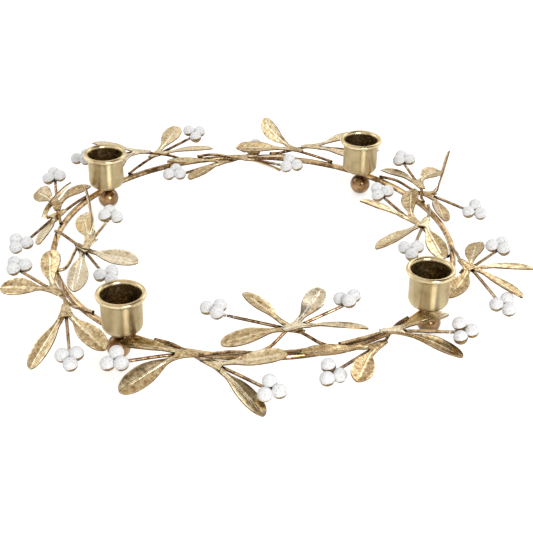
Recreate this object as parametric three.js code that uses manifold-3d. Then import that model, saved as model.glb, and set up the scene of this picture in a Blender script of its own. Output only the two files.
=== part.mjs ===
// Advent wreath candle holder in gold-finished metal: a round rod ring on four ball feet, four
// candle cups brazed on top of it and twenty-four mistletoe sprigs, brazed on in crossed pairs.
// Millimetres, +Z up, table at z = 0, ring axis on the Z axis, front of the wreath towards -Y.
import * as THREE from 'three';
import { mergeVertices } from 'three/addons/utils/BufferGeometryUtils.js';
import Module from 'manifold-3d';

const DEG = Math.PI / 180;

// Driving dimensions
const CANDLE_D = 22; // taper candle that the cups take
const CUP_CLEARANCE = 0.5; // on the candle's diameter
const CUP_WALL = 0.9;
const CUP_FLOOR = 1.4;
const CUP_HEIGHT = 25.4;
const CUP_ROUND = 5; // rounded bottom edge
const BEAD_D = 3; // rolled rim
const RIM_D = 30.3;
const RING_R = 129; // to the middle of the rod
const ROD_D = 4;
const FOOT_D = 14.4;
const FOOT_FLAT_D = 3; // flat that the ball stands on
const FOOT_OUT = 2; // balls sit a little outside the rod
const WIRE_D = 2;
const WEB_L = 12; // sheet between the end of the leaf pair and its notch
const LEAF_L = 36; // usual blade, from the notch to its tip
const LEAF_W = 12.8;
const NECK_OUT = 2.4; // how far the neck of a blade stands beside the stem
const LEAF_T = 0.8;
const LEAF_SINK = 0.5; // how deep the leaf pair sits in its wire
const LEAF_FOLD = 15; // degrees that each half rises from the midrib
const BERRY_D = 8.8;
const BERRY_PITCH = 8.2; // berries of a bunch are fused where they touch
const BERRY_UP = 3; // their middle above the stem, on which the bunch sits
const GAP = 0.3; // braze line between neighbouring pieces

// The sprig rows are drawn for a 36 mm blade and follow its length
const SPRIG_UNIT = LEAF_L / 36;

// Heights that follow from them
const FOOT_Z = Math.sqrt(FOOT_D ** 2 - FOOT_FLAT_D ** 2) / 2;
const RING_Z = FOOT_Z + Math.sqrt((FOOT_D / 2 + GAP + ROD_D / 2) ** 2 - FOOT_OUT ** 2);
const CUP_Z = RING_Z + ROD_D / 2 + GAP;
const ON_ROD = ((ROD_D + WIRE_D) / 2 + GAP) / SPRIG_UNIT; // wire lying on the rod, centre to centre

// Places round the ring, in degrees from +X
const CUPS = [
  { name: 'back_right', at: 45, footAt: 45 },
  { name: 'back_left', at: 134.5, footAt: 133.2 },
  { name: 'front_left', at: 225.5, footAt: 224.6 },
  { name: 'front_right', at: 315.5, footAt: 315.3 },
];

// Sprigs. at, out and up put the notch of the leaf pair by ring angle, distance outside the rod
// and height above it. turn is counted from the outward direction, rise from the level.
// leaf: turn, rise, roll, length, and turn, length and rise of a kink in blades that were bent up.
// stem: turn, rise, length to below the middle of the berries.
// berry: spin and roll of the bunch. tail: the wire's way along the ring, end first.
const SPRIGS = [
  { at: 357.5, out: -17.5, up: 5.6, stem: [-118, -13, 25], berry: [20, 0],
    leaf: [[-159, -12, 14, 36], [-79, -8, 5, 35]], tail: [[13.6, 0.5], [9, -4, 4.5]] },
  { at: 10, out: -20, up: 2, stem: [102, 5.5, 30], berry: [0, -10],
    leaf: [[148, 12, 14, 33], [60, 5, -28, 33]], tail: [[344, -3.2, 0.6], [350, -6.5, 0.8]] },
  { at: 18.5, out: 13.5, up: 1.2, stem: [-53, -11, 29], berry: [-12, 20],
    leaf: [[-115, 0, -25, 36], [28, 60, -62, 33, [14, 3, 0]]], tail: [[37, 0], [31, 3.2, 4]] },
  { at: 27, out: 12.5, up: 5, stem: [66, -0.5, 31], berry: [0, 0],
    leaf: [[96, -8, 9, 33], [15, -7, 8, 30]], tail: [[16, 0], [18.5, 1.5, 4.2]] },
  { at: 62, out: 22, up: 2, stem: [-70, -5, 35], berry: [0, 0],
    leaf: [[-97, -7, -10, 34], [-38, 3, -8, 37]], tail: [[76, 0.5, 3.2], [73, 5, 2]] },
  { at: 71.5, out: 4.5, up: 6.2, stem: [75, -15, 28], berry: [0, 0],
    leaf: [[96, -3, -10, 36], [37, 12, -68, 36.5]], tail: [[55, 0], [60, 2, 3.8]] },
  { at: 83, out: -13, up: 4.7, stem: [-104, -5, 31], berry: [-4, 15],
    leaf: [[-135, 0, -30, 30], [-80, -3, -25, 33]], tail: [[100, 0.5], [95, -1.5, 4.4]] },
  { at: 94.8, out: -12, up: 1.8, stem: [100, -7, 32], berry: [0, 0],
    leaf: [[136, 2, 12, 35], [80, 2, 10, 36]], tail: [[79.5, 1.5], [83, -2.8, 3.2]] },
  { at: 109, out: 15.5, up: 4, stem: [-66, 0.5, 35], berry: [-9, 18],
    leaf: [[-111, 0, -12, 37], [-44, 8, 5, 34]], tail: [[125, 0], [121, 3.5, 3.6]] },
  { at: 118.5, out: 19, up: 8, stem: [56, -10, 35], berry: [0, 0],
    leaf: [[100, -13, -45, 32], [22, -3, 12, 35]], tail: [[104.5, 3.2, 0.9], [108, 5, 5]] },
  { at: 152, out: 13, up: 5, stem: [-61, -1, 35], berry: [0, -12],
    leaf: [[-108, -2, -8, 31], [-36, -12, -35, 32]], tail: [[163, 0], [160, 3, 4.6]] },
  { at: 159.6, out: 9, up: 1.2, stem: [72, -7, 34], berry: [7, -5],
    leaf: [[98, 2, 36, 36], [-178, 62, -8, 32, [-8, 12, -25]]], tail: [[144, 0], [149, 2.4, 2.6]] },
  { at: 174.5, out: -25, up: 5.6, stem: [-107, -3, 32.5], berry: [26, 12],
    leaf: [[-75, 2, -30, 31], [-76, 59, 76, 33, [-134, 2, 0]]], tail: [[167.4, 1.2], [169, -2.5, 4.4]] },
  { at: 181.5, out: -21.5, up: 2, stem: [114, -10, 27], berry: [0, 0],
    leaf: [[151, 0, 15, 35], [73, -8, -5, 38]], tail: [[190, -0.5], [188.5, -6, 2.2]] },
  { at: 196, out: 9, up: 1.2, stem: [-70, -1.5, 31], berry: [-10, 0],
    leaf: [[-111, 14, -15, 31], [-38, -11, -22, 32]],
    tail: [[214.5, 0], [210.5, 2.5, 2.5], [207, 3.8, 0.6]] },
  { at: 213.5, out: 17.5, up: 5, stem: [58, -17, 31], berry: [0, 3],
    leaf: [[91, -6, 15, 37], [14, -28, 12, 37]], tail: [[193.5, 0], [198, 1, 3.6]] },
  { at: 243, out: 12, up: 5, stem: [-75, -12, 33], berry: [22, -25],
    leaf: [[-103, -9, 5, 38], [-33, -15, -32, 38]], tail: [[277.4, 0], [271, 0], [262, 0], [256, 0, 3.6]] },
  { at: 254.7, out: 13, up: 1.2, stem: [67, -8, 31], berry: [10, 30],
    leaf: [[105, 8, 3, 36], [45, -19, -10, 38]], tail: [[235.5, 0], [240, 0], [244, 2.4, 2.6]] },
  { at: 270.5, out: -26.5, up: 2, stem: [-123, -2, 43], berry: [12, 0],
    leaf: [[-149, 10, 15, 35], [-84, -10, -8, 37]], tail: [[281.5, -3.2, 0.6], [279.5, -8, 1]] },
  { at: 277, out: -22.5, up: 5.6, stem: [112, 1, 35], berry: [0, -16],
    leaf: [[143, 7, 15, 33], [69, -3, -20, 38]], tail: [[262, -3.2, 0.8], [266, -9, 1.4]] },
  { at: 289, out: 11, up: 1.2, stem: [-77, -5, 30], berry: [16, -35],
    leaf: [[-106, 4, 8, 39], [-43, 3, -10, 34]], tail: [[306, 0], [302, 0.5], [299, 2.4, 2.6]] },
  { at: 300, out: 10, up: 5, stem: [59, -6, 35], berry: [0, 40],
    leaf: [[96, -10, -10, 41], [34, -18, -3, 37]], tail: [[283.5, 0], [289, 0.5, 3.5]] },
  { at: 334.5, out: 14, up: 5, stem: [-45, -15, 33], berry: [3, 10],
    leaf: [[-108, -6, 0, 33], [-28, -6, -19, 37]], tail: [[348, -1], [344, 2, 3.8]] },
  { at: 339.8, out: 13.5, up: 1.2, stem: [60, -1, 29], berry: [11, 3],
    leaf: [[89, -6, -20, 36], [7, -2, -14, 38]], tail: [[328, 2.4, 2.4], [331, 4, 1.4]] },
];

// Outline of one blade from the end of the leaf pair to the tip: place on its curve, width
const BLADE = [
  [0, 0.24], [0.4, 0.32], [0.55, 0.36], [0.66, 0.58], [0.76, 0.86], [0.86, 1], [0.94, 0.86], [1, 0.3],
];

const wasm = await Module();
wasm.setup();

// Closed three.js geometry as a solid
function solid(geometry) {
  const bare = geometry.clone();
  bare.deleteAttribute('normal');
  bare.deleteAttribute('uv');
  const merged = mergeVertices(bare, 1e-4);
  return new wasm.Manifold(new wasm.Mesh({
    numProp: 3,
    vertProperties: new Float32Array(merged.attributes.position.array),
    triVerts: new Uint32Array(merged.index.array),
  }));
}

// Solid back to a three.js geometry
function geometryOf(body) {
  const mesh = body.getMesh();
  const geometry = new THREE.BufferGeometry();
  geometry.setAttribute('position', new THREE.BufferAttribute(new Float32Array(mesh.vertProperties), 3));
  geometry.setIndex(new THREE.BufferAttribute(new Uint32Array(mesh.triVerts), 1));
  geometry.computeVertexNormals();
  return geometry;
}

// Point by ring angle, distance outside the rod and height above it
function onRing(angle, out, up) {
  const r = RING_R + out * SPRIG_UNIT;
  return new THREE.Vector3(r * Math.cos(angle * DEG), r * Math.sin(angle * DEG), RING_Z + up * SPRIG_UNIT);
}

function heading(turn, rise) {
  const level = Math.cos(rise * DEG);
  const x = level * Math.cos(turn * DEG);
  const y = level * Math.sin(turn * DEG);
  return new THREE.Vector3(x, y, Math.sin(rise * DEG));
}

// Level direction to the left of a heading, and the one square to both, rolled about the heading
function across(ahead, roll) {
  const side = new THREE.Vector3(0, 0, 1).cross(ahead).normalize();
  return side.applyAxisAngle(ahead, roll * DEG);
}

function smooth(low, high, value) {
  return THREE.MathUtils.smoothstep(value, low, high);
}

// Wire of a sprig: along the ring, out to the leaf pair and on to the berries
function wireBody(points) {
  const sides = 5;
  const section = new THREE.Shape();
  for (let i = 0; i < sides; i += 1) {
    const a = (i / sides) * 2 * Math.PI;
    const p = [Math.cos(a) * WIRE_D / 2, Math.sin(a) * WIRE_D / 2];
    if (i === 0) section.moveTo(...p);
    else section.lineTo(...p);
  }
  const path = new THREE.CatmullRomCurve3(points, false, 'centripetal');
  const steps = 2 * points.length;
  return solid(new THREE.ExtrudeGeometry(section, { steps, bevelEnabled: false, extrudePath: path }));
}

// One blade: a sheet that runs along the web to its neck and turns off there, folded up on both
// sides of its midrib
function bladeBody(start, neck, tip, roll) {
  const path = new THREE.CubicBezierCurve3(start, neck, neck, tip);
  const sheet = new THREE.BoxGeometry(1, 1, LEAF_T, 2, BLADE.length - 1, 1);
  const position = sheet.attributes.position;
  for (let i = 0; i < position.count; i += 1) {
    const station = BLADE[Math.round((position.getY(i) + 0.5) * (BLADE.length - 1))];
    const s = station[0];
    const x = position.getX(i) * station[1] * LEAF_W;
    const ahead = path.getTangent(s);
    const side = across(ahead, roll * smooth(0.42, 0.66, s));
    const normal = ahead.clone().cross(side);
    const lift = Math.abs(x) * Math.tan(LEAF_FOLD * DEG) * smooth(0.35, 0.6, s);
    const p = path.getPoint(s).addScaledVector(side, -x).addScaledVector(normal, position.getZ(i) + lift);
    position.setXYZ(i, p.x, p.y, p.z);
  }
  return solid(sheet);
}

// Middle points of the three berries of a bunch that sits on the end of its stem
function berryPoints(end, ahead, spin, roll) {
  const side = across(ahead, roll);
  const middle = end.clone().addScaledVector(ahead.clone().cross(side), BERRY_UP);
  return [0, 120, 240].map((step) => {
    const a = (spin + step) * DEG;
    return middle.clone()
      .addScaledVector(ahead, (BERRY_PITCH / Math.sqrt(3)) * Math.cos(a))
      .addScaledVector(side, (BERRY_PITCH / Math.sqrt(3)) * Math.sin(a));
  });
}

// Length of the stem that stops a braze line short of the berries, or below their middle
function stemLength(root, ahead, berries, most) {
  return Math.min(most, ...berries.map((berry) => {
    const to = berry.clone().sub(root);
    const along = to.dot(ahead);
    const aside = Math.max(0, Math.sqrt(Math.max(0, to.lengthSq() - along ** 2)) - WIRE_D / 2);
    const reach = (BERRY_D / 2 + GAP) ** 2 - aside ** 2;
    return reach > 0 ? along - Math.sqrt(reach) : most;
  }));
}

function metal(color, roughness) {
  return new THREE.MeshStandardMaterial({ color, roughness, metalness: 1 });
}

const wreath = new THREE.Group();

function addMesh(parent, name, geometry, material) {
  const mesh = new THREE.Mesh(geometry, material);
  mesh.name = name;
  parent.add(mesh);
  return mesh;
}

// Ring of round rod
const hoop = new THREE.TorusGeometry(RING_R, ROD_D / 2, 8, 64);
const ring = addMesh(wreath, 'ring', hoop, metal(0xa87b4a, 0.35));
ring.position.z = RING_Z;

// Candle cup: flat floor, rounded bottom edge, straight wall, rim rolled outwards
const bore = (CANDLE_D + CUP_CLEARANCE) / 2;
const outer = bore + CUP_WALL;
const bead = RIM_D / 2 - BEAD_D / 2;
const cupProfile = [new THREE.Vector2(0, 0), new THREE.Vector2(outer - CUP_ROUND, 0)];
for (let i = 1; i <= 3; i += 1) {
  const a = (i / 3) * 90 * DEG;
  cupProfile.push(new THREE.Vector2(
    outer - CUP_ROUND + CUP_ROUND * Math.sin(a), CUP_ROUND - CUP_ROUND * Math.cos(a)));
}
cupProfile.push(new THREE.Vector2(outer, CUP_HEIGHT - 1.07 * BEAD_D));
for (let i = 0; i <= 4; i += 1) {
  const a = (-70 + i * 55) * DEG;
  cupProfile.push(new THREE.Vector2(
    bead + (BEAD_D / 2) * Math.cos(a), CUP_HEIGHT - BEAD_D / 2 + (BEAD_D / 2) * Math.sin(a)));
}
cupProfile.push(new THREE.Vector2(bore, CUP_HEIGHT - BEAD_D));
cupProfile.push(new THREE.Vector2(bore, CUP_ROUND));
cupProfile.push(new THREE.Vector2(bore - 0.24 * CUP_ROUND, CUP_FLOOR + 0.24 * CUP_ROUND));
cupProfile.push(new THREE.Vector2(bore - 0.88 * CUP_ROUND, CUP_FLOOR));
cupProfile.push(new THREE.Vector2(0, CUP_FLOOR));

// Ball foot with a small flat below
const footProfile = [new THREE.Vector2(0, -FOOT_Z)];
const flatAngle = Math.asin(FOOT_FLAT_D / FOOT_D);
for (let i = 0; i <= 7; i += 1) {
  const a = flatAngle + ((Math.PI - flatAngle) * i) / 7;
  const wide = i === 7 ? 0 : (FOOT_D / 2) * Math.sin(a);
  footProfile.push(new THREE.Vector2(wide, (-FOOT_D / 2) * Math.cos(a)));
}

for (const { name, at, footAt } of CUPS) {
  const place = new THREE.Group();
  place.rotation.z = at * DEG;
  wreath.add(place);
  const cup = addMesh(place, `cup_${name}`, new THREE.LatheGeometry(cupProfile, 20), metal(0xc8b07e, 0.3));
  cup.rotation.x = Math.PI / 2;
  cup.position.set(RING_R, 0, CUP_Z);
  const stand = new THREE.Group();
  stand.rotation.z = footAt * DEG;
  wreath.add(stand);
  const ball = new THREE.LatheGeometry(footProfile, 14);
  const foot = addMesh(stand, `foot_${name}`, ball, metal(0x8a6a44, 0.2));
  foot.rotation.x = Math.PI / 2;
  foot.position.set(RING_R + FOOT_OUT, 0, FOOT_Z);
}

// Mistletoe sprigs, each in a group turned to its place, so that +X points outwards at the notch
const berryBall = new THREE.SphereGeometry(BERRY_D / 2, 7, 5);
SPRIGS.forEach(({ at, out, up, stem, berry, leaf, tail }, index) => {
  const number = String(index + 1).padStart(2, '0');
  const place = new THREE.Group();
  place.rotation.z = at * DEG;
  wreath.add(place);

  const notch = onRing(0, out, up);
  const ahead = heading(stem[0], stem[1]);
  const level = heading(stem[0], 0);
  const root = notch.clone().addScaledVector(level, -WEB_L);
  const stemL = stem[2] * SPRIG_UNIT;
  const berries = berryPoints(notch.clone().addScaledVector(ahead, stemL), ahead, ...berry);
  const end = notch.clone().addScaledVector(ahead, stemLength(notch, ahead, berries, stemL));
  const way = tail.map(([angle, aside, above = ON_ROD]) => onRing(angle - at, aside, above));
  const middle = root.clone().lerp(notch, 0.5);
  let body = wireBody([...way, root, middle, notch, end]);

  const seat = new THREE.Vector3(0, 0, (WIRE_D + LEAF_T) / 2 - LEAF_SINK);
  const beside = across(level, 0);
  for (const [turn, rise, roll, length, kink] of leaf) {
    const left = Math.sign(Math.sin(((kink ? kink[0] : turn) - stem[0]) * DEG));
    const start = root.clone().add(seat).addScaledVector(beside, (left * NECK_OUT) / 4);
    const neck = notch.clone().add(seat);
    if (kink) neck.addScaledVector(heading(kink[0], kink[2]), kink[1] * SPRIG_UNIT);
    else neck.addScaledVector(beside, left * NECK_OUT);
    const tip = notch.clone().add(seat).addScaledVector(heading(turn, rise), length * SPRIG_UNIT);
    body = body.add(bladeBody(start, neck, tip, roll));
  }
  addMesh(place, `sprig_${number}`, geometryOf(body), metal(0xd6be8c, 0.4));

  const bunch = berries.map((p) => solid(berryBall.clone().translate(p.x, p.y, p.z)));
  const white = new THREE.MeshStandardMaterial({ color: 0xf2f1ec, roughness: 0.85, metalness: 0 });
  addMesh(place, `berries_${number}`, geometryOf(bunch[0].add(bunch[1]).add(bunch[2])), white);
});

export default wreath;
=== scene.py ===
import math

import bmesh
import bpy
from mathutils import Matrix, Vector, noise


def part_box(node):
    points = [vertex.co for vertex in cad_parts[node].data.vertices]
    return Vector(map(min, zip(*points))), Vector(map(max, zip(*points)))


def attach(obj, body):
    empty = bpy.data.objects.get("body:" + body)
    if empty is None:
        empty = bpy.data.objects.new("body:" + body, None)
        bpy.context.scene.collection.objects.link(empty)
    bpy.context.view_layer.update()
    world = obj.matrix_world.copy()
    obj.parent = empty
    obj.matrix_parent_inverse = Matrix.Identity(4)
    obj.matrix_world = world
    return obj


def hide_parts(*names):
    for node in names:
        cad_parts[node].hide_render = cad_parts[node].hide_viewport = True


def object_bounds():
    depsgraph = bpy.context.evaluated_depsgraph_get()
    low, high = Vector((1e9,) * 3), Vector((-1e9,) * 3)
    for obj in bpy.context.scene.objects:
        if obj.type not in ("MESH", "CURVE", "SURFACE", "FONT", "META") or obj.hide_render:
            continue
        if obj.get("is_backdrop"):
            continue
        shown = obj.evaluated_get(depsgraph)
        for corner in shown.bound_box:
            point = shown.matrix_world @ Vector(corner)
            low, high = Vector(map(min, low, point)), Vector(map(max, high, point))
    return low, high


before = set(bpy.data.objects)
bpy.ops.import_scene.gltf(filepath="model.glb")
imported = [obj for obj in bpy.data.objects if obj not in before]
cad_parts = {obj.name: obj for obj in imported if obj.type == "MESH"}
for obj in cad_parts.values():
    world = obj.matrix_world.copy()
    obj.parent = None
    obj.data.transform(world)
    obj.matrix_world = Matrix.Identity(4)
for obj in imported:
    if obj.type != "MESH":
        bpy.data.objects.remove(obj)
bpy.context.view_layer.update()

# Ring. A 4 mm brass rod bent into a hoop and brazed shut. It carries every other piece and is
# toned a coppery brown, with darker stains and paler spots where it was rubbed back.
mm = 0.001
ring_low, ring_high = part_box("ring")
rod_r = (ring_high.z - ring_low.z) / 2
ring_z = (ring_high.z + ring_low.z) / 2
ring_r = ring_high.x - rod_r
rod_dent = 0.12 * mm


def tone(red, green, blue):
    """Colour as seen on a screen, 0 to 255, for a shader socket."""
    parts = [c / 255 for c in (red, green, blue)]
    return [c / 12.92 if c <= 0.04045 else ((c + 0.055) / 1.055) ** 2.4 for c in parts] + [1]


def wire_up(tree, socket, value):
    """Links a socket to another one, or sets its value."""
    if isinstance(value, bpy.types.NodeSocket):
        tree.links.new(value, socket)
    else:
        socket.default_value = value


def blend(tree, mask, under, over):
    """Colour that goes from under to over as the mask goes from 0 to 1."""
    node = tree.nodes.new("ShaderNodeMix")
    node.data_type = "RGBA"
    for index, value in ((0, mask), (6, under), (7, over)):
        wire_up(tree, node.inputs[index], value)
    return node.outputs[2]


def spread(tree, value, low, high, to_low=0.0, to_high=1.0):
    """Stretches the range from low to high over another one and holds it at the ends."""
    node = tree.nodes.new("ShaderNodeMapRange")
    for index, number in enumerate((value, low, high, to_low, to_high)):
        wire_up(tree, node.inputs[index], number)
    return node.outputs[0]


def reckon(tree, kind, first, second):
    """Sum, product or the like of two values."""
    node = tree.nodes.new("ShaderNodeMath")
    node.operation = kind
    wire_up(tree, node.inputs[0], first)
    wire_up(tree, node.inputs[1], second)
    return node.outputs[0]


def mottle(tree, scale, detail, rough):
    """Cloudy noise fixed to the object. The scale counts clouds per metre."""
    place = tree.nodes.new("ShaderNodeTexCoord")
    node = tree.nodes.new("ShaderNodeTexNoise")
    tree.links.new(place.outputs["Object"], node.inputs["Vector"])
    wire_up(tree, node.inputs["Scale"], scale)
    node.inputs["Detail"].default_value = detail
    node.inputs["Roughness"].default_value = rough
    return node.outputs["Fac"]


def painted(tree, name):
    """Share from 0 to 1 that the mesh carries under this name."""
    node = tree.nodes.new("ShaderNodeAttribute")
    node.attribute_name = name
    return node.outputs["Fac"]


aged = bpy.data.node_groups.new("aged_metal", "ShaderNodeTree")
for socket_name, socket_type in (
    ("Light", "NodeSocketColor"), ("Body", "NodeSocketColor"), ("Dark", "NodeSocketColor"),
    ("Patches", "NodeSocketFloat"), ("Speckle", "NodeSocketFloat"), ("Dullness", "NodeSocketFloat"),
):
    aged.interface.new_socket(socket_name, in_out="INPUT", socket_type=socket_type)
for socket_name, socket_type in (
    ("Color", "NodeSocketColor"), ("Roughness", "NodeSocketFloat"), ("Height", "NodeSocketFloat"),
):
    aged.interface.new_socket(socket_name, in_out="OUTPUT", socket_type=socket_type)
finish = aged.nodes.new("NodeGroupInput").outputs
clouds = mottle(aged, scale=finish["Patches"], detail=4, rough=0.6)
flecks = mottle(aged, scale=620, detail=4, rough=0.72)
grains = mottle(aged, scale=2600, detail=2, rough=0.6)
# One share from the mesh lightens for real wear and for painted highlight along tops, ribs and rims;
# the other darkens for flame black and for painted shade on undersides and in creases.
wear_and_highlight = painted(aged, "wear_and_highlight")
soot_and_shade = painted(aged, "soot_and_shade")
unrubbed_and_unlit = reckon(aged, "SUBTRACT", 1.0, wear_and_highlight)
flame_black_and_shade = tone(44, 28, 16)
rubbed_and_lit = reckon(aged, "ADD", clouds, reckon(aged, "MULTIPLY", wear_and_highlight, 0.4))
colour = blend(aged, spread(aged, rubbed_and_lit, 0.5, 0.76), finish["Body"], finish["Light"])
stain = reckon(aged, "MULTIPLY", spread(aged, clouds, 0.47, 0.33, 0, 0.7), unrubbed_and_unlit)
colour = blend(aged, stain, colour, finish["Dark"])
pits = reckon(aged, "MULTIPLY", spread(aged, flecks, 0.5, 0.68), finish["Speckle"])
colour = blend(aged, reckon(aged, "MULTIPLY", pits, unrubbed_and_unlit), colour, finish["Dark"])
glints = reckon(aged, "MULTIPLY", spread(aged, flecks, 0.45, 0.32), finish["Speckle"])
colour = blend(aged, glints, colour, finish["Light"])
scorch_and_shade = reckon(aged, "ADD", soot_and_shade, reckon(aged, "MULTIPLY", flecks, 0.5))
scorch_and_shade = reckon(aged, "MULTIPLY", spread(aged, scorch_and_shade, 0.45, 0.95), spread(aged, soot_and_shade, 0.02, 0.2))
colour = blend(aged, scorch_and_shade, colour, flame_black_and_shade)
uneven = reckon(aged, "MULTIPLY", spread(aged, flecks, 0.3, 0.7, -0.14, 0.18), finish["Speckle"])
dull = reckon(aged, "ADD", finish["Dullness"], uneven)
dull = reckon(aged, "ADD", dull, reckon(aged, "MULTIPLY", scorch_and_shade, 0.2))
relief = reckon(aged, "MULTIPLY", flecks, 0.7)
relief = reckon(aged, "ADD", relief, reckon(aged, "MULTIPLY", grains, 0.3))
made = aged.nodes.new("NodeGroupOutput").inputs
for socket_name, value in (("Color", colour), ("Roughness", dull), ("Height", relief)):
    aged.links.new(value, made[socket_name])


def metal(name, light, body, dark, patches, speckle, dullness, relief_mm):
    """Aged metal in three tones, with its count of patches per metre and its share of specks, and
    painted highlight and shade where the mesh carries them.
    """
    material = bpy.data.materials.new(name)
    material.use_nodes = True
    tree = material.node_tree
    shader = tree.nodes["Principled BSDF"]
    group = tree.nodes.new("ShaderNodeGroup")
    group.node_tree = aged
    for socket, value in (
        ("Light", tone(*light)), ("Body", tone(*body)), ("Dark", tone(*dark)),
        ("Patches", patches), ("Speckle", speckle), ("Dullness", dullness),
    ):
        group.inputs[socket].default_value = value
    bump = tree.nodes.new("ShaderNodeBump")
    bump.inputs["Strength"].default_value = 0.8
    bump.inputs["Distance"].default_value = relief_mm * mm
    tree.links.new(group.outputs["Height"], bump.inputs["Height"])
    tree.links.new(group.outputs["Color"], shader.inputs["Base Color"])
    tree.links.new(group.outputs["Roughness"], shader.inputs["Roughness"])
    tree.links.new(bump.outputs["Normal"], shader.inputs["Normal"])
    shader.inputs["Metallic"].default_value = 1
    return material


def piece(name, mesh_in_work, materials, node):
    """Makes the finished mesh an object of the wreath that stands for a solid."""
    mesh = bpy.data.meshes.new(name)
    mesh_in_work.to_mesh(mesh)
    mesh_in_work.free()
    for material in materials:
        mesh.materials.append(material)
    mesh.shade_smooth()
    made_piece = bpy.data.objects.new(name, mesh)
    bpy.context.scene.collection.objects.link(made_piece)
    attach(made_piece, "root")
    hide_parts(node)
    return made_piece


def ease(low, high, value):
    """Soft step from 0 at low to 1 at high."""
    t = min(1, max(0, (value - low) / (high - low)))
    return t * t * (3 - 2 * t)


rod_metal = metal(
    "rod_metal", light=(246, 216, 170), body=(150, 113, 72), dark=(62, 40, 22),
    patches=110, speckle=0.6, dullness=0.26, relief_mm=0.06,
)
# With no seed set, the noise vectors would start from the clock and differ from run to run.
noise.seed_set(3)
hoop = bmesh.new()
wear_and_highlight_layer = hoop.verts.layers.float.new("wear_and_highlight")
soot_and_shade_layer = hoop.verts.layers.float.new("soot_and_shade")
bmesh.ops.create_circle(hoop, segments=20, radius=rod_r)
bmesh.ops.rotate(hoop, verts=hoop.verts, matrix=Matrix.Rotation(math.pi / 2, 3, "X"))
bmesh.ops.translate(hoop, verts=hoop.verts, vec=(ring_r, 0, ring_z))
bmesh.ops.spin(
    hoop, geom=hoop.verts[:] + hoop.edges[:], cent=(0, 0, 0), axis=(0, 0, 1),
    angle=2 * math.pi, steps=288, use_merge=True,
)
bmesh.ops.remove_doubles(hoop, verts=hoop.verts, dist=0.01 * mm)
bmesh.ops.recalc_face_normals(hoop, faces=hoop.faces)
# Painted highlight along the top of the rod and painted shade along its underside, by height on the
# rod.
for vert in hoop.verts:
    level = (vert.co.z - ring_z) / rod_r
    vert[wear_and_highlight_layer] = 0.55 * ease(0.1, 0.8, level)
    vert[soot_and_shade_layer] = 0.6 * (1 - ease(-0.4, 0.6, level))
    vert.co += noise.noise_vector(vert.co * 90) * rod_dent
piece("rod_ring", hoop, [rod_metal], "ring")

# Feet. Four brass balls of 14 mm, brazed under the rod below the cups. They are the glossiest
# pieces, browner than the rest under a thin lacquer, and each is ground flat where it stands.
CUP_PLACES = ("back_right", "back_left", "front_left", "front_right")
foot_flat_r = 1.5 * mm
foot_edge = 0.25 * mm
foot_braze = (1.9, 3.0, 1.1)
braze_dent = 0.3 * mm
ball_metal = metal(
    "ball_metal", light=(192, 152, 106), body=(130, 97, 62), dark=(76, 54, 33),
    patches=120, speckle=0.2, dullness=0.27, relief_mm=0.015,
)
lacquered = ball_metal.node_tree.nodes["Principled BSDF"]
lacquered.inputs["Coat Weight"].default_value = 0.4
lacquered.inputs["Coat Roughness"].default_value = 0.1


def braze(shape, at, size, turn, black=0.8):
    """Lump of braze, its half sizes in mm: a flattened, uneven drop, blackened by the flame."""
    lump = bmesh.ops.create_icosphere(shape, subdivisions=3, radius=1)["verts"]
    bmesh.ops.scale(shape, verts=lump, vec=[s * mm for s in size])
    bmesh.ops.rotate(shape, verts=lump, matrix=Matrix.Rotation(math.radians(turn), 3, "Z"))
    bmesh.ops.translate(shape, verts=lump, vec=at)
    soot_and_shade_of = shape.verts.layers.float["soot_and_shade"]
    for vert in lump:
        vert.co += noise.noise_vector(vert.co * 420) * braze_dent
        vert[soot_and_shade_of] = black


for place in CUP_PLACES:
    low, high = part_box("foot_" + place)
    height = high.z - low.z
    ball_r = (height ** 2 + foot_flat_r ** 2) / (2 * height)
    middle = Vector(((low.x + high.x) / 2, (low.y + high.y) / 2, high.z - ball_r))
    ball = bmesh.new()
    ball.verts.layers.float.new("soot_and_shade")
    bmesh.ops.create_uvsphere(ball, u_segments=48, v_segments=30, radius=ball_r)
    bmesh.ops.translate(ball, verts=ball.verts, vec=middle)
    bmesh.ops.bisect_plane(
        ball, geom=ball.verts[:] + ball.edges[:] + ball.faces[:], plane_co=(0, 0, low.z),
        plane_no=(0, 0, -1), clear_outer=True,
    )
    rim = [edge for edge in ball.edges if edge.is_boundary]
    bmesh.ops.contextual_create(ball, geom=rim)
    bmesh.ops.bevel(
        ball, geom=rim, offset=foot_edge, segments=2, profile=0.5, affect="EDGES", material=-1,
    )
    angle = math.atan2(middle.y, middle.x)
    seat = Vector((ring_r * math.cos(angle), ring_r * math.sin(angle), ring_z))
    seat = middle.lerp(seat, ball_r / (seat - middle).length)
    braze(ball, seat, foot_braze, math.degrees(angle))
    piece("ball_foot_" + place, ball, [ball_metal], "foot_" + place)

# Cups. Spun from brass sheet for a 22 mm candle: a flat bottom with a wide round, a straight wall
# and a rim rolled outwards into a bead. Satin outside, tarnished inside, brazed on top of the rod.
cup_outer = 12.15 * mm
cup_wall = 0.9 * mm
cup_bore = cup_outer - cup_wall
cup_floor = 1.4 * mm
cup_round = 5 * mm
cup_dent = 0.12 * mm
cup_braze = (2.4, 4.6, 0.9)
cup_braze_drop = Vector((0, 0, 0.5 * mm))
bead_r = 1.5 * mm
bead_neck = 0.9 * mm
lip_round = 0.6 * mm
cup_metal = metal(
    "cup_metal", light=(216, 200, 160), body=(192, 173, 132), dark=(152, 128, 86),
    patches=70, speckle=0.05, dullness=0.34, relief_mm=0.004,
)
spun = cup_metal.node_tree.nodes.new("ShaderNodeTangent")
spun.direction_type = "RADIAL"
spun.axis = "Z"
spun_shader = cup_metal.node_tree.nodes["Principled BSDF"]
cup_metal.node_tree.links.new(spun.outputs["Tangent"], spun_shader.inputs["Tangent"])
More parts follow.
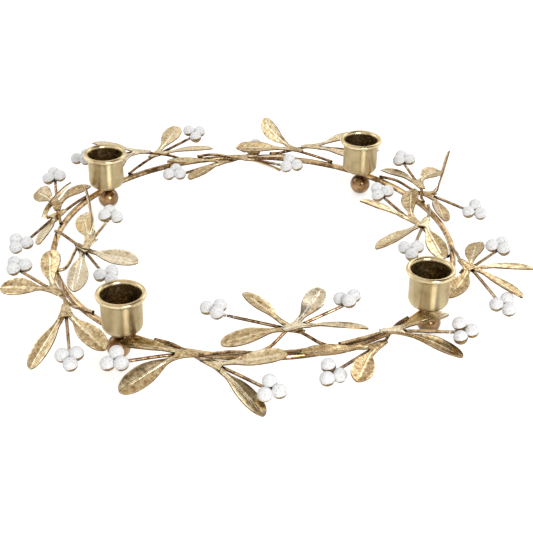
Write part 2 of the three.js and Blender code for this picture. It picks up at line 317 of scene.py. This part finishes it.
spun_shader.inputs["Anisotropic"].default_value = 1
spun_shader.inputs["Anisotropic Rotation"].default_value = 0.25
bead_metal = metal(
    "bead_metal", light=(230, 212, 170), body=(196, 174, 132), dark=(140, 112, 72),
    patches=160, speckle=0.15, dullness=0.28, relief_mm=0.02,
)
tarnished = metal(
    "tarnished", light=(255, 238, 188), body=(150, 125, 82), dark=(78, 60, 34),
    patches=420, speckle=0.8, dullness=0.42, relief_mm=0.08,
)


def arc(centre_r, centre_z, radius, start, stop, steps):
    """Points of a rounding in the cup's section, by angle from outwards."""
    turns = [math.radians(start + (stop - start) * k / steps) for k in range(steps + 1)]
    return [(centre_r + radius * math.cos(t), centre_z + radius * math.sin(t)) for t in turns]


for place in CUP_PLACES:
    low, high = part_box("cup_" + place)
    height = high.z - low.z
    rim_r = (high.x - low.x) / 2
    middle = Vector(((low.x + high.x) / 2, (low.y + high.y) / 2, low.z))
    bead_low = height - 2 * bead_r
    section = [(0, 0), (4 * mm, 0)]
    section += arc(cup_outer - cup_round, cup_round, cup_round, -90, 0, 10)
    section += [(cup_outer, up * mm) for up in (9, 14, 19)]
    section += arc(cup_outer + bead_neck, bead_low - 0.75 * mm, bead_neck, 180, 118, 4)
    section += arc(rim_r - bead_r, height - bead_r, bead_r, -105, 152, 20)
    section += arc(cup_bore - lip_round, bead_low, lip_round, 40, 0, 3)
    section += [(cup_bore, up * mm) for up in (16, 11)]
    section += arc(cup_bore - cup_round, cup_floor + cup_round, cup_round, 0, -90, 8)
    section += [(3 * mm, cup_floor), (0, cup_floor)]
    cup = bmesh.new()
    soot_and_shade_layer = cup.verts.layers.float.new("soot_and_shade")
    wear_and_highlight_layer = cup.verts.layers.float.new("wear_and_highlight")
    line = [cup.verts.new((r, 0, z)) for r, z in section]
    for first, second in zip(line, line[1:]):
        cup.edges.new((first, second))
    bmesh.ops.spin(
        cup, geom=cup.verts[:] + cup.edges[:], cent=(0, 0, 0), axis=(0, 0, 1),
        angle=2 * math.pi, steps=96, use_merge=True,
    )
    bmesh.ops.remove_doubles(cup, verts=cup.verts, dist=0.005 * mm)
    bmesh.ops.recalc_face_normals(cup, faces=cup.faces)
    for vert in cup.verts:
        r = math.hypot(vert.co.x, vert.co.y)
        inside = r < cup_bore + 0.2 * mm and vert.co.z > cup_floor - 0.1 * mm
        # Painted shade: the outer wall darkens in the crease just under the bead.
        from_neck = abs(vert.co.z - bead_low + 0.3 * mm) / mm
        vert[soot_and_shade_layer] = 0 if inside else 0.5 * (1 - ease(0.2, 1.0, from_neck))
        vert[wear_and_highlight_layer] = 0.7 if vert.co.z > height - 2.2 * bead_r and not inside else 0
        ripple = noise.noise(Vector((vert.co.x * 60, vert.co.y * 60, vert.co.z * 25)))
        vert.co.x += vert.co.x / max(r, mm) * ripple * cup_dent
        vert.co.y += vert.co.y / max(r, mm) * ripple * cup_dent
    for face in cup.faces:
        spot = face.calc_center_median()
        in_bore = math.hypot(spot.x, spot.y) < cup_bore + 0.3 * mm
        if spot.z > height - 2.3 * bead_r:
            face.material_index = 2
        if in_bore and cup_floor - 0.1 * mm < spot.z < height - 0.9 * bead_r:
            face.material_index = 1
    bmesh.ops.translate(cup, verts=cup.verts, vec=middle)
    turn = math.degrees(math.atan2(middle.y, middle.x))
    braze(cup, middle - cup_braze_drop, cup_braze, turn)
    piece("candle_cup_" + place, cup, [cup_metal, tarnished, bead_metal], "cup_" + place)

# Sprigs. Each has a 2 mm wire that lies on the rod, leaves it and runs on to the berries. A leaf
# pair stamped from sheet, with a web and two ribbed blades, is brazed on top of the wire. Flame
# and polish left the wires and leaves of some sprigs paler or browner than the others, and the
# leaf tones also carry painted light and shade.
wire_r = 1.0 * mm
way_steps = 9
on_rod_mm = 3.3
splash_length = 13 * mm
berry_braze = (2.3, 2.3, 1.7)
berry_braze_up = 0.9 * mm
tail_braze = (0.9, 2.2, 0.7)
web_length = 12 * mm
leaf_width = 12.8 * mm
neck_out = 2.4 * mm
leaf_sheet = 0.8 * mm
leaf_edge_round = 0.22 * mm
leaf_fold = math.tan(math.radians(15))
leaf_lift = Vector((0, 0, 0.9 * mm))
leaf_sway = 0.5 * mm
leaf_wave = 0.3 * mm
rib_half = 0.5 * mm

# A row places the notch of a leaf pair by ring angle and by mm outside and above the rod's middle.
# The stem follows with turn, rise and length, and the berries with spin and roll. Turns count from
# outwards and rises from the level. Each leaf has turn, rise, roll and length, and where it was bent
# up, the turn, length and rise of its kink. The points of the wire's tail on the ring come last, as
# the notch is placed, but with no height where the wire lies on the rod.
SPRIGS = (
    (357.5, -17.5, 5.6, (-118, -13, 25), (20, 0),
     ((-159, -12, 14, 36), (-79, -8, 5, 35)), ((13.6, 0.5), (9, -4, 4.5))),
    (10, -20, 2, (102, 5.5, 30), (0, -10),
     ((148, 12, 14, 33), (60, 5, -28, 33)), ((344, -3.2, 0.6), (350, -6.5, 0.8))),
    (18.5, 13.5, 1.2, (-53, -11, 29), (-12, 20),
     ((-115, 0, -25, 36), (28, 60, -62, 33, (14, 3, 0))), ((37, 0), (31, 3.2, 4))),
    (27, 12.5, 5, (66, -0.5, 31), (0, 0),
     ((96, -8, 9, 33), (15, -7, 8, 30)), ((16, 0), (18.5, 1.5, 4.2))),
    (62, 22, 2, (-70, -5, 35), (0, 0),
     ((-97, -7, -10, 34), (-38, 3, -8, 37)), ((76, 0.5, 3.2), (73, 5, 2))),
    (71.5, 4.5, 6.2, (75, -15, 28), (0, 0),
     ((96, -3, -10, 36), (37, 12, -68, 36.5)), ((55, 0), (60, 2, 3.8))),
    (83, -13, 4.7, (-104, -5, 31), (-4, 15),
     ((-135, 0, -30, 30), (-80, -3, -25, 33)), ((100, 0.5), (95, -1.5, 4.4))),
    (94.8, -12, 1.8, (100, -7, 32), (0, 0),
     ((136, 2, 12, 35), (80, 2, 10, 36)), ((79.5, 1.5), (83, -2.8, 3.2))),
    (109, 15.5, 4, (-66, 0.5, 35), (-9, 18),
     ((-111, 0, -12, 37), (-44, 8, 5, 34)), ((125, 0), (121, 3.5, 3.6))),
    (118.5, 19, 8, (56, -10, 35), (0, 0),
     ((100, -13, -45, 32), (22, -3, 12, 35)), ((104.5, 3.2, 0.9), (108, 5, 5))),
    (152, 13, 5, (-61, -1, 35), (0, -12),
     ((-108, -2, -8, 31), (-36, -12, -35, 32)), ((163, 0), (160, 3, 4.6))),
    (159.6, 9, 1.2, (72, -7, 34), (7, -5),
     ((98, 2, 36, 36), (-178, 62, -8, 32, (-8, 12, -25))), ((144, 0), (149, 2.4, 2.6))),
    (174.5, -25, 5.6, (-107, -3, 32.5), (26, 12),
     ((-75, 2, -30, 31), (-76, 59, 76, 33, (-134, 2, 0))), ((167.4, 1.2), (169, -2.5, 4.4))),
    (181.5, -21.5, 2, (114, -10, 27), (0, 0),
     ((151, 0, 15, 35), (73, -8, -5, 38)), ((190, -0.5), (188.5, -6, 2.2))),
    (196, 9, 1.2, (-70, -1.5, 31), (-10, 0),
     ((-111, 14, -15, 31), (-38, -11, -22, 32)), ((214.5, 0), (210.5, 2.5, 2.5), (207, 3.8, 0.6))),
    (213.5, 17.5, 5, (58, -17, 31), (0, 3),
     ((91, -6, 15, 37), (14, -28, 12, 37)), ((193.5, 0), (198, 1, 3.6))),
    (243, 12, 5, (-75, -12, 33), (22, -25),
     ((-103, -9, 5, 38), (-33, -15, -32, 38)), ((277.4, 0), (271, 0), (262, 0), (256, 0, 3.6))),
    (254.7, 13, 1.2, (67, -8, 31), (10, 30),
     ((105, 8, 3, 36), (45, -19, -10, 38)), ((235.5, 0), (240, 0), (244, 2.4, 2.6))),
    (270.5, -26.5, 2, (-123, -2, 43), (12, 0),
     ((-149, 10, 15, 35), (-84, -10, -8, 37)), ((281.5, -3.2, 0.6), (279.5, -8, 1))),
    (277, -22.5, 5.6, (112, 1, 35), (0, -16),
     ((143, 7, 15, 33), (69, -3, -20, 38)), ((262, -3.2, 0.8), (266, -9, 1.4))),
    (289, 11, 1.2, (-77, -5, 30), (16, -35),
     ((-106, 4, 8, 39), (-43, 3, -10, 34)), ((306, 0), (302, 0.5), (299, 2.4, 2.6))),
    (300, 10, 5, (59, -6, 35), (0, 40),
     ((96, -10, -10, 41), (34, -18, -3, 37)), ((283.5, 0), (289, 0.5, 3.5))),
    (334.5, 14, 5, (-45, -15, 33), (3, 10),
     ((-108, -6, 0, 33), (-28, -6, -19, 37)), ((348, -1), (344, 2, 3.8))),
    (339.8, 13.5, 1.2, (60, -1, 29), (11, 3),
     ((89, -6, -20, 36), (7, -2, -14, 38)), ((328, 2.4, 2.4), (331, 4, 1.4))),
)


def splashed_wire(name, light, body, dark):
    """Metal of a wire, with dabs of white paint where the mesh carries them."""
    material = metal(name, light, body, dark, patches=260, speckle=0.55, dullness=0.28, relief_mm=0.06)
    tree = material.node_tree
    dabs = spread(tree, mottle(tree, scale=800, detail=2, rough=0.5), 0.5, 0.56)
    dabs = reckon(tree, "MULTIPLY", dabs, painted(tree, "dab"))
    shader = tree.nodes["Principled BSDF"]
    bare_wire = shader.inputs["Base Color"].links[0].from_socket
    splash_white = tone(240, 240, 238)
    tree.links.new(blend(tree, dabs, bare_wire, splash_white), shader.inputs["Base Color"])
    tree.links.new(reckon(tree, "SUBTRACT", 1.0, dabs), shader.inputs["Metallic"])
    return material


wire_brown = splashed_wire("wire_brown", (230, 194, 148), (112, 79, 49), (46, 29, 16))
wire_gold = splashed_wire("wire_gold", (250, 224, 182), (184, 150, 106), (76, 50, 30))
GOLD_WIRES = (1, 13, 14, 15, 16, 22, 23, 24)


def leaf_sheet_metal(name, light, body, dark, speckle):
    """Metal of a stamped leaf, with finer patches than the rod and the cups."""
    return metal(name, light, body, dark, patches=360, speckle=speckle, dullness=0.25, relief_mm=0.05)


LEAF_FINISH_AND_LIGHT = {
    "gold": leaf_sheet_metal("leaf_metal", (255, 246, 216), (216, 192, 148), (108, 80, 48), 0.6),
    "pale": leaf_sheet_metal("leaf_pale_lit", (255, 251, 230), (246, 228, 188), (142, 112, 72), 0.55),
    "brown": leaf_sheet_metal("leaf_brown_and_shade", (246, 226, 186), (190, 163, 118), (92, 66, 38), 0.6),
    "bright": leaf_sheet_metal("leaf_bright_lit", (255, 254, 242), (255, 244, 216), (176, 146, 102), 0.5),
}

# Finishes of a sprig's two leaves, by its number, partly real finish and partly painted light and
# shade: pale and bright leaves are lit copies, brown ones shaded copies of the leaf metal. The
# sprigs that aren't named have gold leaves.
LEAF_TONES_AND_LIGHT = {
    1: ("pale", "gold"), 3: ("brown", "brown"), 5: ("pale", "pale"), 9: ("pale", "pale"),
    10: ("bright", "bright"), 11: ("brown", "gold"), 12: ("pale", "pale"), 13: ("pale", "pale"),
    14: ("bright", "bright"), 18: ("pale", "pale"), 20: ("bright", "pale"), 21: ("brown", "brown"),
    22: ("bright", "brown"), 23: ("brown", "brown"),
}
# Painted shade: the cut rim of each leaf sheet gets this darker metal, as if the edge were in shadow.
leaf_edge_shade = metal(
    "leaf_edge_shade", light=(170, 138, 92), body=(104, 78, 48), dark=(62, 42, 24),
    patches=200, speckle=0.5, dullness=0.4, relief_mm=0.08,
)


def on_ring(angle, out, up):
    """Place at a ring angle in degrees, in mm outside the middle of the rod and above it."""
    r = ring_r + out * mm
    angle = math.radians(angle)
    return Vector((r * math.cos(angle), r * math.sin(angle), ring_z + up * mm))


def heading(turn, rise):
    """Direction of length 1 from its compass turn and its rise, in degrees."""
    level = math.cos(math.radians(rise))
    turn = math.radians(turn)
    return Vector((level * math.cos(turn), level * math.sin(turn), math.sin(math.radians(rise))))


def across(ahead, roll):
    """Direction to the left of the way ahead, rolled about it."""
    side = Vector((0, 0, 1)).cross(ahead).normalized()
    return Matrix.Rotation(math.radians(roll), 3, ahead) @ side


def smooth_way(points, steps):
    """Points of the even curve that a springy wire takes through its fixed points."""
    ends = [2 * points[0] - points[1], *points, 2 * points[-1] - points[-2]]
    way = []
    for a, b, c, d in zip(ends, ends[1:], ends[2:], ends[3:]):
        before, here, after = ((q - p).length ** 0.5 for p, q in ((a, b), (b, c), (c, d)))
        leave = ((b - a) / before - (c - a) / (before + here) + (c - b) / here) * here
        reach = ((c - b) / here - (d - b) / (here + after) + (d - c) / after) * here
        for k in range(steps):
            t = k / steps
            way.append(
                b * (2 * t ** 3 - 3 * t ** 2 + 1) + leave * (t ** 3 - 2 * t ** 2 + t)
                + c * (3 * t ** 2 - 2 * t ** 3) + reach * (t ** 3 - t ** 2)
            )
    return way + [points[-1]]


def draw_wire(shape, way, radius, soot_at, dab_from, dab):
    """Pushes a round section along the way, blackened at some lengths and splashed from one on, with
    painted highlight along its top and painted shade underneath.
    """
    soot_and_shade_of, wear_and_highlight_of, dab_of = (shape.verts.layers.float[k] for k in ("soot_and_shade", "wear_and_highlight", "dab"))
    ahead = (way[1] - way[0]).normalized()
    disc = bmesh.ops.create_circle(shape, cap_ends=True, segments=12, radius=radius)["verts"]
    bmesh.ops.rotate(shape, verts=disc, matrix=ahead.to_track_quat("Z", "Y").to_matrix())
    bmesh.ops.translate(shape, verts=disc, vec=way[0])
    face = disc[0].link_faces[0]
    run = 0
    for k, here in enumerate(way):
        if k:
            pushed = bmesh.ops.extrude_face_region(shape, geom=[face])["geom"]
            face = next(part for part in pushed if isinstance(part, bmesh.types.BMFace))
            disc = face.verts[:]
            step = here - way[k - 1]
            run += step.length
            new_ahead = (way[min(k + 1, len(way) - 1)] - way[k - 1]).normalized()
            turn = ahead.rotation_difference(new_ahead).to_matrix()
            bmesh.ops.rotate(shape, verts=disc, cent=way[k - 1], matrix=turn)
            bmesh.ops.translate(shape, verts=disc, vec=step)
            ahead = new_ahead
        for vert in disc:
            over = (vert.co.z - here.z) / radius
            # Painted highlight along the top of the wire.
            vert[wear_and_highlight_of] = 0.4 * ease(0.1, 0.85, over)
            vert[dab_of] = dab * ease(dab_from, dab_from + 3 * mm, run)
            vert[soot_and_shade_of] = max(1 - ease(0, reach, abs(run - at)) for at, reach in soot_at)
            # Painted shade along the underside of the wire.
            vert[soot_and_shade_of] = max(vert[soot_and_shade_of], 0.72 * (1 - ease(-0.3, 0.6, over)))


def length_of(way):
    """Length along the points of a way."""
    return sum((q - p).length for p, q in zip(way, way[1:]))


def blade_share(s):
    """Width of a blade by its place on the curve: slim neck, widest past the middle, blunt tip."""
    blunt = math.sqrt(max(0, 1 - (max(0, s - 0.84) / 0.16) ** 2.6))
    return (0.28 + 0.04 * s + 0.69 * ease(0.52, 0.85, s)) * blunt


def press_blade(shape, start, neck, tip, roll, seed):
    """Bends a flat grid along the web, round the neck and to the tip, with its fold and rib."""
    wear_and_highlight_of, soot_and_shade_of = (shape.verts.layers.float[k] for k in ("wear_and_highlight", "soot_and_shade"))
    grid = bmesh.ops.create_grid(shape, x_segments=18, y_segments=44, size=1)["verts"]
    for vert in grid:
        u = vert.co.x
        s = 1 - (1 - (vert.co.y + 1) / 2) ** 1.7
        sway = noise.noise(Vector((s * 3, seed, 5)))
        ragged = noise.noise(Vector((s * 4, seed, math.copysign(9, u))))
        wide = leaf_width / 2 * blade_share(s) * (1 + 0.07 * ragged)
        x = math.copysign(abs(u) ** 1.4, u) * wide
        spot = start * (1 - s) ** 3 + neck * 3 * s * (1 - s) + tip * s ** 3
        ahead = ((neck - start) * (1 - s) ** 2 + (tip - neck) * s ** 2).normalized()
        side = across(ahead, roll * ease(0.42, 0.66, s))
        up = ahead.cross(side)
        folded = ease(0.35, 0.6, s)
        trough = math.hypot(x, 0.4 * mm) * 1.25 - 0.5 * mm - 0.78 * x * x / leaf_width
        lift = trough * leaf_fold * folded
        rib = math.exp(-(x / rib_half) ** 2) * (1 - ease(0.9, 0.99, s))
        lift += rib * rib_half * ease(0.3, 0.5, s)
        lift += leaf_wave * noise.noise(Vector((x * 110, s * 6, seed))) * folded
        vert.co = spot - side * (x + sway * leaf_sway * folded) + up * lift
        # The rib is painted lighter as a highlight, and the blade is lighter towards its edges.
        vert[wear_and_highlight_of] = max(rib * 0.65, 0.25 * ease(0.86, 1, abs(u)))
        vert[soot_and_shade_of] = 0.4 * (1 - ease(0, 0.1, s))
    return grid


for number, (at, out, up, stem, berry, leaves, tail) in enumerate(SPRIGS, 1):
    label = f"{number:02d}"
    notch = on_ring(at, out, up)
    ahead = heading(at + stem[0], stem[1])
    level = heading(at + stem[0], 0)
    root = notch - level * web_length
    end = notch + ahead * stem[2] * mm
    tail = [spot if len(spot) == 3 else (*spot, on_rod_mm) for spot in tail]
    fixed = [on_ring(*spot) for spot in tail]

    wire = bmesh.new()
    for layer in ("soot_and_shade", "wear_and_highlight", "dab"):
        wire.verts.layers.float.new(layer)
    way = smooth_way([*fixed, root, root.lerp(notch, 0.5), notch, end], way_steps)
    whole = length_of(way)
    to_notch = length_of(way[:-way_steps])
    sooty = [(0, 0.8 * mm), (to_notch, 2.2 * mm), (whole - 3 * mm, 4.5 * mm)]
    splash = 1 if number % 3 == 1 else 0.3
    draw_wire(wire, way, wire_r, sooty, whole - splash_length, splash)
    over_end = ahead.cross(across(ahead, berry[1])) * berry_braze_up
    braze(wire, end + over_end, berry_braze, at)
    tail_at, tail_out, tail_up = tail[0]
    along = tail_at + math.copysign(1.0, tail[1][0] - tail_at)
    braze(wire, on_ring(along, tail_out * 0.5, tail_up * 0.55), tail_braze, along, black=0.4)
    drawn = wire_gold if number in GOLD_WIRES else wire_brown
    piece("wire_" + label, wire, [drawn], "sprig_" + label)

    pair = bmesh.new()
    pair.verts.layers.float.new("wear_and_highlight")
    soot_and_shade_layer = pair.verts.layers.float.new("soot_and_shade")
    aside = across(level, 0)
    for index, (turn, rise, roll, length, *kink) in enumerate(leaves):
        first_turn = kink[0][0] if kink else turn
        left = math.copysign(1, math.sin(math.radians(first_turn - stem[0])))
        start = root + leaf_lift + aside * left * neck_out / 4
        neck = notch + leaf_lift + aside * left * neck_out
        if kink:
            kink_turn, kink_length, kink_rise = kink[0]
            neck = notch + leaf_lift + heading(at + kink_turn, kink_rise) * kink_length * mm
        tip = notch + leaf_lift + heading(at + turn, rise) * length * mm
        seed = number * 7.3 + index * 3.1
        for vert in press_blade(pair, start, neck, tip, roll, seed):
            for face in vert.link_faces:
                face.material_index = index
    web = bmesh.ops.create_grid(pair, x_segments=8, y_segments=8, size=1)["verts"]
    for vert in web:
        u, t = vert.co.x, (vert.co.y + 1) / 2
        half = (1.9 + 2.2 * t ** 1.5) * mm
        reach = web_length * (1.2 * t - 0.2) - 0.9 * mm * (1 - u * u) * t
        crown = 0.2 - 0.36 * abs(u) ** 3 + 0.16 * noise.noise(Vector((u * 2, t * 3, number * 2.0)))
        vert.co = root + leaf_lift + level * reach - aside * u * half
        vert.co.z += crown * mm
        vert[soot_and_shade_layer] = 0.4 * (1 - ease(0, 0.1, t))
    bmesh.ops.remove_doubles(pair, verts=pair.verts, dist=0.02 * mm)
    toned_and_lit = [LEAF_FINISH_AND_LIGHT[name] for name in LEAF_TONES_AND_LIGHT.get(number, ("gold", "gold"))]
    sheet = piece("leaves_" + label, pair, [*toned_and_lit, leaf_edge_shade], "sprig_" + label)
    thick = sheet.modifiers.new("sheet", "SOLIDIFY")
    thick.thickness = leaf_sheet
    thick.offset = 0
    # The rim takes the darker edge metal as painted shade.
    thick.material_offset_rim = 2
    edges = sheet.modifiers.new("edges", "BEVEL")
    edges.width = leaf_edge_round
    edges.segments = 2
    edges.limit_method = "ANGLE"
    edges.angle_limit = math.radians(50)

# Berries. Three balls to a bunch, set on the braze at the end of the stem and dabbed with a thick
# chalky white paint from above. The paint is grainy and leaves the gold ground bare underneath.
berry_r = 4.4 * mm
berry_pitch = 8.2 * mm
berry_up = 3 * mm
berry_grain = 0.14 * mm
berry_sink = 0.1 * mm
paint_edge = -0.17
paint_fade = 0.14
from_above = Vector((-0.2, 0, 0.98))
berry_paint = bpy.data.materials.new("berry_paint")
berry_paint.use_nodes = True
chalk = berry_paint.node_tree
chalk_shader = chalk.nodes["Principled BSDF"]
crumbs = mottle(chalk, scale=900, detail=4, rough=0.7)
dabs = mottle(chalk, scale=260, detail=3, rough=0.6)
white = blend(chalk, spread(chalk, crumbs, 0.42, 0.62), tone(230, 230, 230), tone(251, 251, 250))
white = blend(chalk, spread(chalk, crumbs, 0.42, 0.32, 0, 0.6), white, tone(132, 130, 127))
bare = reckon(chalk, "ADD", painted(chalk, "bare"), spread(chalk, dabs, 0.3, 0.7, -0.25, 0.25))
bare = spread(chalk, bare, 0.42, 0.58)
ground = blend(chalk, spread(chalk, crumbs, 0.4, 0.6), tone(84, 66, 38), tone(172, 146, 98))
chalk.links.new(blend(chalk, bare, white, ground), chalk_shader.inputs["Base Color"])
chalk.links.new(spread(chalk, bare, 0, 1, 0.86, 0.45), chalk_shader.inputs["Roughness"])
chalk.links.new(spread(chalk, bare, 0, 1, 0, 0.9), chalk_shader.inputs["Metallic"])
chalk_bump = chalk.nodes.new("ShaderNodeBump")
chalk_bump.inputs["Strength"].default_value = 0.9
chalk_bump.inputs["Distance"].default_value = 0.3 * mm
chalk.links.new(crumbs, chalk_bump.inputs["Height"])
chalk.links.new(chalk_bump.outputs["Normal"], chalk_shader.inputs["Normal"])

for number, (at, out, up, stem, berry, *_) in enumerate(SPRIGS, 1):
    label = f"{number:02d}"
    ahead = heading(at + stem[0], stem[1])
    side = across(ahead, berry[1])
    bunch = on_ring(at, out, up) + ahead * stem[2] * mm + ahead.cross(side) * berry_up
    balls = bmesh.new()
    bare_layer = balls.verts.layers.float.new("bare")
    for step in range(3):
        angle = math.radians(berry[0] + 120 * step)
        off = ahead * math.cos(angle) + side * math.sin(angle)
        middle = bunch + off * berry_pitch / math.sqrt(3)
        ball = bmesh.ops.create_icosphere(balls, subdivisions=4, radius=berry_r)["verts"]
        edge = paint_edge + 0.4 * noise.noise(Vector((number * 1.7, step * 2.3, 4)))
        for vert in ball:
            facing = vert.co.normalized()
            lump = noise.noise(vert.co * 700 + Vector((number, step, 0)))
            vert.co += facing * (lump * berry_grain - berry_sink)
            upward = facing.dot(from_above)
            vert[bare_layer] = 1 - ease(edge - paint_fade, edge + paint_fade, upward)
        bmesh.ops.translate(balls, verts=ball, vec=middle)
    piece("bunch_" + label, balls, [berry_paint], "berries_" + label)

# Stage. A pale table in a white room, soft boxes and cards round it, and the camera of the
# photograph. Table and room are whiter to the eye and in mirrors than the light they give.
table_drop = 0.2 * mm
table_glow = 0.58
room_light = 0.62
table = bmesh.new()
bmesh.ops.create_grid(table, x_segments=1, y_segments=1, size=3)
bmesh.ops.translate(table, verts=table.verts, vec=(0, 0, -table_drop))
table_mesh = bpy.data.meshes.new("table")
table.to_mesh(table_mesh)
table.free()
table_top = bpy.data.objects.new("table", table_mesh)
bpy.context.scene.collection.objects.link(table_top)
table_top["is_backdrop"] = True


def seen_rays(tree):
    """1 for rays of the camera, of mirrors and through glass, else 0."""
    path = tree.nodes.new("ShaderNodeLightPath")
    seen = path.outputs["Is Camera Ray"]
    for kind in ("Is Glossy Ray", "Is Transmission Ray"):
        seen = reckon(tree, "MAXIMUM", seen, path.outputs[kind])
    return seen


table_white = bpy.data.materials.new("table_white")
table_white.use_nodes = True
tree = table_white.node_tree
tree.nodes.remove(tree.nodes["Principled BSDF"])
matte = tree.nodes.new("ShaderNodeBsdfDiffuse")
matte.inputs["Color"].default_value = (0.8, 0.8, 0.8, 1)
glow = tree.nodes.new("ShaderNodeEmission")
tree.links.new(reckon(tree, "MULTIPLY", seen_rays(tree), table_glow), glow.inputs["Strength"])
both = tree.nodes.new("ShaderNodeAddShader")
tree.links.new(matte.outputs["BSDF"], both.inputs[0])
tree.links.new(glow.outputs["Emission"], both.inputs[1])
tree.links.new(both.outputs["Shader"], tree.nodes["Material Output"].inputs["Surface"])
table_mesh.materials.append(table_white)

room = bpy.data.worlds.new("room")
bpy.context.scene.world = room
room.use_nodes = True
tree = room.node_tree
backdrop = tree.nodes["Background"]
backdrop.inputs["Color"].default_value = (1, 1, 1, 1)
tree.links.new(spread(tree, seen_rays(tree), 0, 1, room_light, 1), backdrop.inputs["Strength"])


def soft_box(name, place, aim, size, power):
    """Flat lamp in metres and watts, turned towards its aim."""
    lamp = bpy.data.lights.new(name, "AREA")
    lamp.shape = "RECTANGLE"
    lamp.size, lamp.size_y = size
    lamp.energy = power
    lamp_holder = bpy.data.objects.new(name, lamp)
    lamp_holder.location = place
    lamp_holder.rotation_euler = (Vector(aim) - Vector(place)).to_track_quat("-Z", "Y").to_euler()
    bpy.context.scene.collection.objects.link(lamp_holder)


soft_box("key", (0.28, -1.15, 0.5), (0, 0, 0), (0.5, 0.42), 7.5)
soft_box("right", (0.64, 0.53, 0.7), (0.22, -0.38, 0.7), (0.6, 0.6), 2.1)
soft_box("strip", (-0.25, 0.62, 1.2), (-0.25, 0.62, 0), (1.5, 0.3), 1.2)
soft_box("back", (0, 1.6, 1.2), (0, 1.0, 0), (2.4, 0.6), 2.8)
soft_box("left", (-0.86, 0.54, 0.64), (0, 0, 0), (0.6, 0.5), 1.3)


def studio_card(name, place, aim, size, shade):
    """Card that shows only in the metal and casts no shadow."""
    card = bmesh.new()
    bmesh.ops.create_grid(card, x_segments=1, y_segments=1, size=0.5)
    bmesh.ops.scale(card, verts=card.verts, vec=(size[0], size[1], 1))
    turn = (Vector(aim) - Vector(place)).to_track_quat("Z", "Y").to_matrix()
    bmesh.ops.rotate(card, verts=card.verts, matrix=turn)
    bmesh.ops.translate(card, verts=card.verts, vec=place)
    card_mesh = bpy.data.meshes.new(name)
    card.to_mesh(card_mesh)
    card.free()
    card_paper = bpy.data.materials.new(name)
    card_paper.use_nodes = True
    paper_shader = card_paper.node_tree.nodes["Principled BSDF"]
    paper_shader.inputs["Base Color"].default_value = tone(*shade)
    paper_shader.inputs["Roughness"].default_value = 0.9
    card_mesh.materials.append(card_paper)
    held = bpy.data.objects.new(name, card_mesh)
    bpy.context.scene.collection.objects.link(held)
    for ray in ("camera", "diffuse", "transmission", "shadow"):
        setattr(held, "visible_" + ray, False)
    held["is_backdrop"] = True


studio_card("card_over", (0, 0.4, 1.25), (0, 0.4, 0), (4.4, 3.6), (236, 224, 208))
studio_card("card_back", (0, 2.3, 0.6), (0, 0, 0.6), (3, 1.2), (252, 242, 224))
studio_card("card_side", (0.97, -0.29, 1.15), (0.97, -0.29, 0), (1.65, 2.02), (96, 80, 62))
studio_card("card_front", (-0.1, -1.0, 0.75), (0, 0, 0.75), (0.3, 1.5), (30, 22, 14))
studio_card("card_right", (0.6, -0.9, 0.75), (0, 0, 0.75), (0.4, 1.5), (40, 30, 20))

eye = Vector((-108.65, -696.77, 420.2)) * mm
look_at = Vector((2.66, -36.43, 20.39)) * mm
camera_roll = math.radians(0.869)
lens = bpy.data.cameras.new("camera")
lens.sensor_width = 36
lens.lens = 84.19
lens.clip_start = 0.01
camera = bpy.data.objects.new("camera", lens)
bpy.context.scene.collection.objects.link(camera)
level_view = (look_at - eye).to_track_quat("-Z", "Y").to_matrix()
turned = level_view @ Matrix.Rotation(camera_roll, 3, "Z")
camera.matrix_world = Matrix.Translation(eye) @ turned.to_4x4()
bpy.context.scene.camera = camera
bpy.context.scene.view_settings.view_transform = "Standard"

bpy.context.view_layer.update()
low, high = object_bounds()
